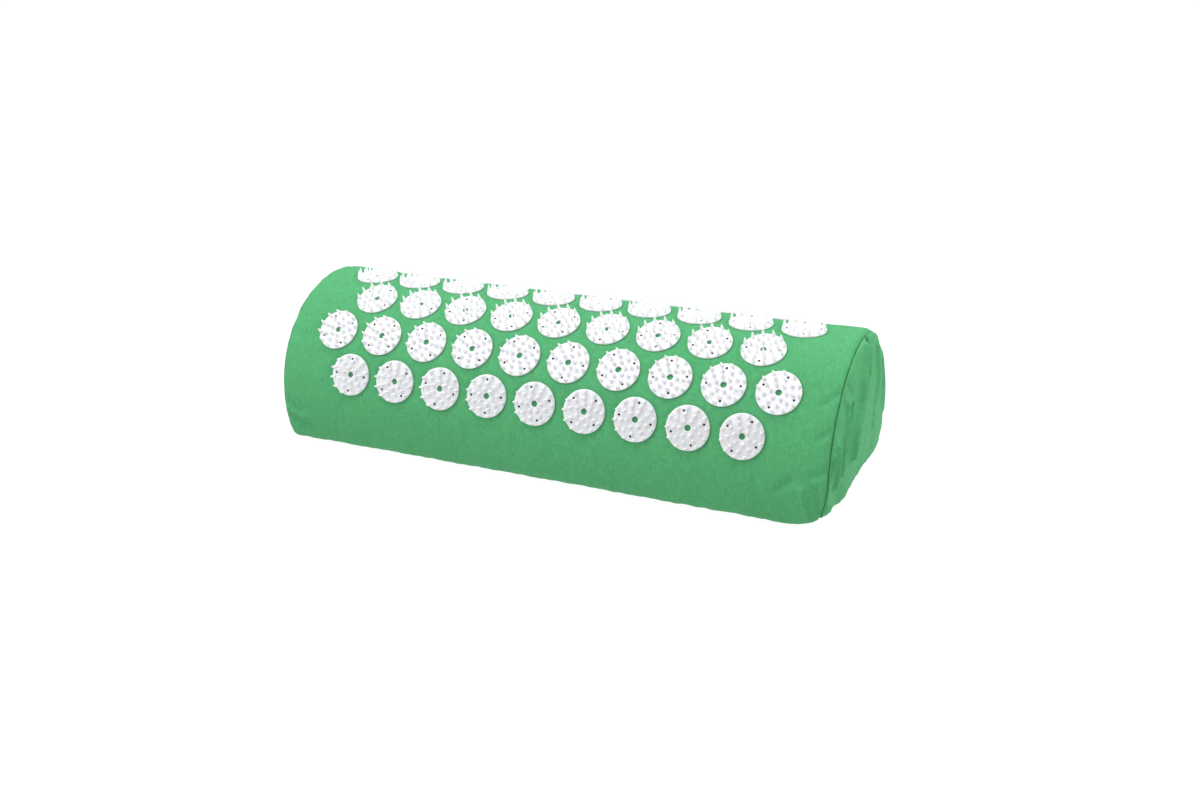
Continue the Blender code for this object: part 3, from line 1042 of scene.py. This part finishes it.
def tube(bm, path, radius, sides, across):
    """A thread or wire along a path of points, with flat ends; across is never along the path."""
    rings = []
    last = len(path) - 1
    for k, point in enumerate(path):
        run = path[min(k + 1, last)] - path[max(k - 1, 0)]
        side = run.cross(across).normalized()
        up = side.cross(run).normalized()
        ring = []
        for i in range(sides):
            angle = math.tau * i / sides
            ring.append(bm.verts.new(point + radius * (math.cos(angle) * side + math.sin(angle) * up)))
        rings.append(ring)
    skin_rings(bm, rings)
    bm.faces.new(rings[0][::-1])
    bm.faces.new(rings[-1])


def sew(bm, line, outs, pitch, length, radius):
    """Stitches along a line of points: each thread comes out of the cloth, lies on it and dives back."""
    along = running_length(np.linalg.norm(np.diff(line, axis=0), axis=1))
    count = int(along[-1] / pitch)
    for i in range(count):
        path = []
        for share, lift in STITCH_SHAPE:
            at = along[-1] * i / count + share * length
            point = [np.interp(at, along, line[:, k]) for k in range(3)]
            out = Vector([np.interp(at, along, outs[:, k]) for k in range(3)])
            path.append(Vector(point) + lift * radius * out)
        tube(bm, path, radius, 6, out)


def border_loop(obj):
    """The points of a piece's one open border, in order."""
    bm = bmesh.new()
    bm.from_mesh(obj.data)
    vert = next(v for v in bm.verts if v.is_boundary)
    first, edge, points = vert, None, []
    while edge is None or vert != first:
        points.append(vert.co.copy())
        edge = next(e for e in vert.link_edges if e.is_boundary and e != edge)
        vert = edge.other_vert(vert)
    points.append(first.co.copy())
    bm.free()
    return np.array([tuple(p) for p in points])


def make_seam_stitches(pieces, material):
    """Thread that shows in the seams round both ends and along both edges of the base, dark as painted seam
    shade.
    """
    bm = bmesh.new()
    for name, side in (("cover_end_left", -1), ("cover_end_right", 1)):
        line = border_loop(pieces[name])
        outs = outward(line) + np.array((side, 0, 0))
        sew(bm, line, outs / math.sqrt(2), *SEAM_STITCH)
    border = np.array([tuple(p) for p in border_points(pieces["cover_base_panel"])])
    inside = (border[:, 0] > SEAM_LEFT + 1 * MM) & (border[:, 0] < SEAM_RIGHT - 1 * MM)
    for side in (-1, 1):
        line = border[inside & (border[:, 1] * side > 0)]
        line = line[np.argsort(line[:, 0])]
        sew(bm, line, outward(line), *SEAM_STITCH)
    finish_stitches("seam_stitches", bm, material)


def make_topstitches(pieces, material):
    """A row of stitches beside each edge of the zip, lying on the cloth."""
    bm = bmesh.new()
    for name, side in (("cover_curved_panel", -1), ("cover_rear_strip", 1)):
        tree = BVHTree.FromPolygons(*plain_mesh(pieces[name]))
        line, outs = [], []
        for k in range(100):
            x = (-198 + 4 * k) * MM
            frame_here = zip_frame(x)
            out = frame_here.to_3x3() @ Vector((0, 0, 1))
            start = frame_here @ Vector((0, side * TOPSTITCH_SPAN, 20 * MM))
            hit = tree.ray_cast(start, -out)[0]
            if hit:
                line.append(tuple(hit))
                outs.append(tuple(out))
        sew(bm, np.array(line), np.array(outs), *TOPSTITCH)
    finish_stitches("zip_topstitches", bm, material)


def plain_mesh(obj):
    verts = [v.co.copy() for v in obj.data.vertices]
    return verts, [tuple(face.vertices) for face in obj.data.polygons]


def finish_stitches(name, bm, material):
    finish_piece(name, take_mesh(name, bm), material, "bolster")


# ---- zip ----


def zip_piece(name, bm, material, body, replaced, x=0.0, smooth_angle=40):
    """A piece made in zip coordinates in millimetres at x, moved to its place."""
    bmesh.ops.recalc_face_normals(bm, faces=bm.faces)
    mesh = take_mesh(name, bm)
    flat = np.empty(len(mesh.vertices) * 3)
    mesh.vertices.foreach_get("co", flat)
    layer = mesh.attributes.new("cloth", "FLOAT_VECTOR", "POINT")
    layer.data.foreach_set("vector", flat * MM)
    mesh.transform(zip_frame(x) @ Matrix.Scale(MM, 4))
    piece = finish_piece(name, mesh, material, body, smooth_angle)
    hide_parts(replaced)
    return piece


def rounded_box(bm, low, high, radius, segments=2):
    size = [b - a for a, b in zip(low, high)]
    middle = [(a + b) / 2 for a, b in zip(low, high)]
    matrix = Matrix.Translation(middle) @ Matrix.Diagonal((*size, 1))
    made = bmesh.ops.create_cube(bm, size=1, matrix=matrix)
    edges = list({edge for v in made["verts"] for edge in v.link_edges})
    bmesh.ops.bevel(bm, geom=edges, offset=radius, segments=segments, profile=0.5, affect="EDGES")


def softened(outline, times=2):
    """An outline with its corners cut again and again, until it looks round."""
    for _ in range(times):
        cut = []
        for a, b in zip(outline, outline[1:] + outline[:1]):
            cut.append((0.75 * a[0] + 0.25 * b[0], 0.75 * a[1] + 0.25 * b[1]))
            cut.append((0.25 * a[0] + 0.75 * b[0], 0.25 * a[1] + 0.75 * b[1]))
        outline = cut
    return outline


def add_plate(bm, outlines, thickness, bevel, matrix):
    """A flat plate with rounded rims from an outline and its holes, all in millimetres."""
    curve = bpy.data.curves.new("plate", "CURVE")
    curve.dimensions = "2D"
    curve.fill_mode = "BOTH"
    curve.extrude = thickness / 2 - bevel
    curve.bevel_depth = bevel
    curve.bevel_resolution = 2
    curve.offset = -bevel
    for outline in outlines:
        spline = curve.splines.new("POLY")
        spline.points.add(len(outline) - 1)
        for point, (x, y) in zip(spline.points, outline):
            point.co = (x, y, 0, 1)
        spline.use_cyclic_u = True
    obj = add_object("plate", curve)
    mesh = evaluated_mesh(obj)
    bpy.data.objects.remove(obj)
    mesh.transform(matrix)
    part = bmesh.new()
    part.from_mesh(mesh)
    bmesh.ops.remove_doubles(part, verts=part.verts, dist=0.001)
    part.to_mesh(mesh)
    part.free()
    bm.from_mesh(mesh)
    bpy.data.meshes.remove(mesh)


def mirrored(half):
    """A closed outline from the half of it on one side of the x axis."""
    return half + [(x, -y) for x, y in reversed(half) if y > 0]


def make_tapes(material):
    for name, side in ZIP_SIDES:
        inner, outer = sorted(side * v for v in TAPE_SPAN)
        bm = bmesh.new()
        low = (-ZIP_HALF_LENGTH, inner, TAPE_LAYER[0])
        rounded_box(bm, low, (ZIP_HALF_LENGTH, outer, TAPE_LAYER[1]), 0.2)
        zip_piece(f"zip_tape_{name}_woven", bm, material, "bolster", f"zip_tape_{name}")


def make_coils(material):
    """Two spirals of one nylon wire each, half a turn apart, with room for the slider's post between."""
    middle, reach = sum(COIL_REACH) / 2, (COIL_REACH[1] - COIL_REACH[0]) / 2
    height, rise = sum(COIL_LAYER) / 2, (COIL_LAYER[1] - COIL_LAYER[0]) / 2
    turns = int(2 * COIL_HALF_LENGTH / COIL_PITCH)
    per_turn = 10
    for name, side in ZIP_SIDES:
        bm = bmesh.new()
        path = []
        shift = 0 if side > 0 else 0.5
        for k in range((turns - 1) * per_turn):
            angle = math.tau * k / per_turn
            x = -COIL_HALF_LENGTH + COIL_PITCH * (k / per_turn + shift)
            across = side * (middle - reach * math.cos(angle))
            path.append(Vector((x, across, height + rise * math.sin(angle))))
        tube(bm, path, COIL_WIRE, 5, Vector((1, 0, 0)))
        zip_piece(f"zip_coil_{name}_wire", bm, material, "bolster", f"zip_coil_{name}")


def make_stops(material):
    """The crimped stops that end the coils, each a clip with two ribs."""
    for name, side in (("left", -1), ("right", 1)):
        bm = bmesh.new()
        rounded_box(bm, (-1.5, -3.1, 0.0), (1.5, 3.1, 1.9), 0.5, 3)
        for x in (-0.75, 0.75):
            rounded_box(bm, (x - 0.4, -2.9, 1.5), (x + 0.4, 2.9, 2.4), 0.3)
        place = side * STOP_PLACE * MM
        zip_piece(f"zip_stop_{name}_clip", bm, material, "bolster", f"zip_stop_{name}", place)


def make_slider(material):
    """Two tapered plates joined by a post, with side flanges and a bridge for the pull."""
    bm = bmesh.new()
    wide_end = [(5.0, 0.0), (5.5, 1.6), (5.2, 3.4), (4.0, 4.3)]
    narrow_end = [(1.4, 4.3), (-4.6, 3.2), (-5.5, 2.4), (-5.5, 0.0)]
    outline = softened(mirrored(wide_end + narrow_end))
    for w in (-2.1, 3.1):
        add_plate(bm, [outline], 1.0, 0.3, Matrix.Translation((0, 0, w)))
    for side in (-1, 1):
        lean = Matrix.Rotation(side * math.radians(-8), 4, "Z")
        for low, high in ((1.9, 3.0), (-2.0, -1.25)):
            flange = bmesh.new()
            rounded_box(flange, (-4.6, side * 3.3 - 0.4, low), (2.2, side * 3.3 + 0.4, high), 0.25)
            bmesh.ops.transform(flange, matrix=lean, verts=flange.verts)
            mesh = take_mesh("flange", flange)
            bm.from_mesh(mesh)
            bpy.data.meshes.remove(mesh)
    rounded_box(bm, (3.0, -0.2, -1.9), (4.8, 0.2, 2.9), 0.08)
    bridge = [(-3.9, 3.2), (-3.7, 5.2), (-2.3, 6.4), (2.3, 6.4), (3.7, 5.2), (3.9, 3.2)]
    bridge += [(3.0, 3.2), (2.9, 4.8), (1.9, 5.55), (-1.9, 5.55), (-2.9, 4.8), (-3.0, 3.2)]
    upright = Matrix.Rotation(math.radians(90), 4, "X")
    add_plate(bm, [softened(bridge)], 2.0, 0.25, upright)
    zip_piece("zip_slider_cast", bm, material, "slider", "zip_slider", SLIDER_REST_X)


def make_pull(material):
    """A tapered tab with an eye round the bridge, a raised grip and a hole at its end."""
    bm = bmesh.new()
    head = [(0.55, 0.0), (0.55, 2.0), (-0.4, 2.7), (-4.6, 2.6), (-7.5, 1.9)]
    tail = [(-13, 2.3), (-21, 3.0), (-24.6, 2.8), (-26, 1.2), (-26, 0.0)]
    outline = softened(mirrored(head + tail))
    eye = softened([(-0.6, -1.3), (-0.6, 1.3), (-4.3, 1.3), (-4.3, -1.3)], 1)
    middle = Matrix.Translation((0, 0, PULL_AXIS_HEIGHT / MM))
    add_plate(bm, [outline, eye, circle(-22.4, 0, 1.4)], 1.0, 0.2, middle)
    grip = softened([(-9, -0.9), (-9, 0.9), (-19, 1.5), (-19, -1.5)])
    add_plate(bm, [grip], 1.3, 0.25, middle)
    zip_piece("zip_pull_tab", bm, material, "pull", "zip_pull", SLIDER_REST_X)


# ---- foam ----


def make_foam(material):
    """The foam block inside the cover, a little smaller than it all round."""
    grids = build_grids()
    bm = bmesh.new()
    centre = np.array((0, 0, AXIS_HEIGHT))
    depth, near, far = FOAM_CHANNEL
    for grid in grids.values():
        points = (grid.reshape(-1, 3) - centre) * np.array(FOAM_SCALE) + centre
        angle = np.arctan2(points[:, 1], points[:, 2] - AXIS_HEIGHT)
        beside = np.abs(angle - ZIP_ANGLE) * CAD_COVER_RADIUS
        channel = depth * (1 - smooth(near, far, beside))
        points -= outward(points) * channel[:, None]
        verts = [bm.verts.new(p) for p in points]
        for face in grid_faces(*grid.shape[:2]):
            bm.faces.new([verts[k] for k in face])
    bmesh.ops.remove_doubles(bm, verts=bm.verts, dist=0.05 * MM)
    bmesh.ops.recalc_face_normals(bm, faces=bm.faces)
    foam = finish_piece("foam_block", take_mesh("foam_block", bm), material, "bolster")
    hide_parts("foam_core")


# ---- setting ----


def look_from(place, target, roll):
    forward = (Vector(target) - Vector(place)).normalized()
    turn = forward.to_track_quat("-Z", "Y").to_matrix().to_4x4()
    return Matrix.Translation(place) @ turn @ Matrix.Rotation(-roll, 4, "Z")


def make_camera():
    data = bpy.data.cameras.new("camera")
    data.lens = CAMERA_LENS
    data.sensor_width = SENSOR_WIDTH
    data.clip_start = 0.01
    camera = add_object("camera", data)
    camera.matrix_world = look_from(CAMERA_PLACE, CAMERA_TARGET, CAMERA_ROLL)
    bpy.context.scene.camera = camera


def add_softbox(name, place, size, power):
    data = bpy.data.lights.new(name, "AREA")
    data.shape = "DISK"
    data.size = size
    data.energy = power
    light = add_object(name, data)
    light.matrix_world = look_from(place, (0, 0, 0.05), 0)


def make_setting():
    world = bpy.data.worlds.new("studio")
    bpy.context.scene.world = world
    world.use_nodes = True
    background = world.node_tree.nodes["Background"]
    set_inputs(world.node_tree, background, {"Color": (1, 1, 1, 1), "Strength": WORLD_STRENGTH})
    bpy.context.scene.view_settings.view_transform = "Standard"
    bpy.context.scene.view_settings.look = "None"
    for softbox in SOFTBOXES:
        add_softbox(*softbox)
    material, tree, shader = new_material("floor_white")
    glow = {"Emission Color": (1, 1, 1, 1), "Emission Strength": FLOOR_GLOW}
    set_inputs(tree, shader, {"Base Color": (0.1, 0.1, 0.1, 1), "Roughness": 0.9, **glow})
    bm = bmesh.new()
    bmesh.ops.create_grid(bm, x_segments=1, y_segments=1, size=6)
    mesh = take_mesh("floor", bm)
    mesh.materials.append(material)
    floor = add_object("floor", mesh)
    floor.location.z = -0.3 * MM
    floor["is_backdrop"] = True


def write_sizes(cad, visual):
    rows = {"cad": [list(p) for p in cad], "visual": [list(p) for p in visual]}


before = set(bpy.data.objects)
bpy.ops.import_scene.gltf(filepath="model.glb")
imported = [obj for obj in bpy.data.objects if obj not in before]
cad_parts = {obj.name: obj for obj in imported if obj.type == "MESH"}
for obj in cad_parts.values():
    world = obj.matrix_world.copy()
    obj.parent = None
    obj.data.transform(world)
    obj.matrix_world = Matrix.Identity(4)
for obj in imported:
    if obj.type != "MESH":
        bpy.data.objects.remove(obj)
cad_box = [tuple(p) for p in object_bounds()]
make_camera()
make_setting()
cotton = cotton_material("cover_cotton", COTTON_COLOR)
thread = seam_shade_thread_material()
metal = metal_material()
cover = make_cover(cotton)
make_seam_stitches(cover, thread)
make_topstitches(cover, thread)
make_foam(foam_material())
disc_plastic = plastic_material("disc_plastic", DISC_COLOR, 0.38, inside=0.8)
# The discs' second material is the pin holes' painted shade.
make_discs(disc_plastic, plastic_material("pin_hole", PIN_HOLE_SHADE_COLOR, 0.7))
make_tapes(cotton_material("zip_tape", TAPE_COLOR, 0.45 * MM))
make_coils(plastic_material("zip_coil", COIL_COLOR, 0.35))
make_stops(metal)
make_slider(metal)
make_pull(metal)
write_sizes(cad_box, [tuple(p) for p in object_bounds()])
